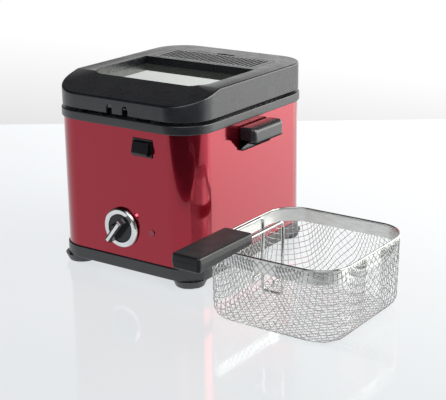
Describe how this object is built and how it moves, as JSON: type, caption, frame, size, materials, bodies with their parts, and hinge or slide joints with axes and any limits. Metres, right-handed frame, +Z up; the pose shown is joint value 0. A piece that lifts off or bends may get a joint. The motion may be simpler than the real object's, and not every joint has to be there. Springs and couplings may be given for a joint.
{
  "type": "deep fryer",
  "caption": "Compact electric deep fryer with hinged viewing-window lid, dial, release button and separate wire frying basket with long grip.",
  "frame": {"origin": "centre of the housing's footprint, on the table that the feet stand on", "axes": "+X to the right as seen from the front, -Y towards the front with the controls, +Z up"},
  "size_m": [0.4008, 0.4095, 0.2094],
  "materials": {
    "red_lacquer": "high-gloss metallic red lacquer on sheet steel",
    "black_plastic": "satin black moulded plastic",
    "gloss_black": "smooth black plastic",
    "grip_plastic": "satin black heat-resistant plastic",
    "foot_rubber": "soft black rubber",
    "pan_coating": "grey non-stick coating",
    "aluminium_plate": "rolled",
    "element_tube": "heat-darkened sheath",
    "zinc_steel": "zinc plated",
    "spring_steel": "bright drawn wire",
    "stainless": "satin stainless",
    "basket_wire": "bright drawn stainless wire",
    "copper": "drawn copper",
    "phenolic": "moulded phenolic",
    "white_plastic": "natural nylon",
    "lead_sheath": "silicone sheath",
    "lamp_red": "translucent red lens",
    "lamp_pink": "lit pilot lens",
    "window_glass": "clear toughened glass",
    "filter_foam": "open-cell filter foam",
    "dial_chrome": "bright chrome",
    "dial_silver": "satin silver"
  },
  "bodies": {
    "fryer": {"outer_housing": "red_lacquer", "top_collar": "black_plastic", "base_moulding": "black_plastic", "foot_pads": "foot_rubber", "oil_pan": "pan_coating", "heat_spreader": "aluminium_plate", "heating_element": "element_tube", "element_strap": "zinc_steel", "pan_studs": "zinc_steel", "stud_nuts": "zinc_steel", "sensor_bulb": "copper", "capillary_tube": "copper", "thermostat": "phenolic", "thermostat_screws": "zinc_steel", "thermal_cutout": "phenolic", "terminal_block": "white_plastic", "cord_gland": "black_plastic", "internal_leads": "lead_sheath", "power_lamp_lens": "lamp_red", "ready_lamp_lens": "lamp_pink", "lamp_holders": "white_plastic", "button_bezel": "gloss_black", "latch_bracket": "zinc_steel", "latch_spring": "spring_steel", "side_handle_left": "black_plastic", "side_handle_right": "black_plastic", "handle_screws": "zinc_steel", "hinge_pin": "zinc_steel"},
    "lid": {"lid_shell": "black_plastic", "lid_liner": "stainless", "lid_gasket": "foot_rubber", "liner_screws": "zinc_steel", "window_glass": "window_glass", "window_gasket": "foot_rubber", "lid_catch": "black_plastic", "filter_pad": "filter_foam"},
    "filter_lid": {"filter_cover": "black_plastic"},
    "dial": {"dial_knob": "gloss_black", "dial_ring": "dial_chrome", "dial_inlay": "dial_silver", "thermostat_shaft": "zinc_steel"},
    "release": {"release_button": "gloss_black", "latch_slider": "white_plastic"},
    "basket": {"basket_mesh": "basket_wire", "basket_band": "stainless", "basket_rim": "basket_wire", "handle_rods": "basket_wire", "handle_hooks": "basket_wire", "grip_upper": "grip_plastic", "grip_lower": "grip_plastic", "grip_screw": "zinc_steel"}
  },
  "joints": [
    {"name": "lid_hinge", "type": "hinge", "parent": "fryer", "child": "lid", "pos_m": [0, 0.121, 0.1782], "axis": [-1, 0, 0], "range_deg": [0, 88]},
    {"name": "filter_lift", "type": "slide", "parent": "lid", "child": "filter_lid", "axis": [0, 0, 1], "range_m": [0, 0.05]},
    {"name": "dial_turn", "type": "hinge", "parent": "fryer", "child": "dial", "pos_m": [0, -0.112, 0.056], "axis": [0, 1, 0], "range_deg": [0, 270]},
    {"name": "button_press", "type": "slide", "parent": "fryer", "child": "release", "axis": [0, 1, 0], "range_m": [0, 0.004], "stiffness_N_per_m": 400, "springref_m": -0.003, "deforming": ["latch_spring"]},
    {"name": "basket_lift", "type": "slide", "parent": "fryer", "child": "basket", "axis": [0, 0, 1], "range_m": [0, 0.2]}
  ]
}
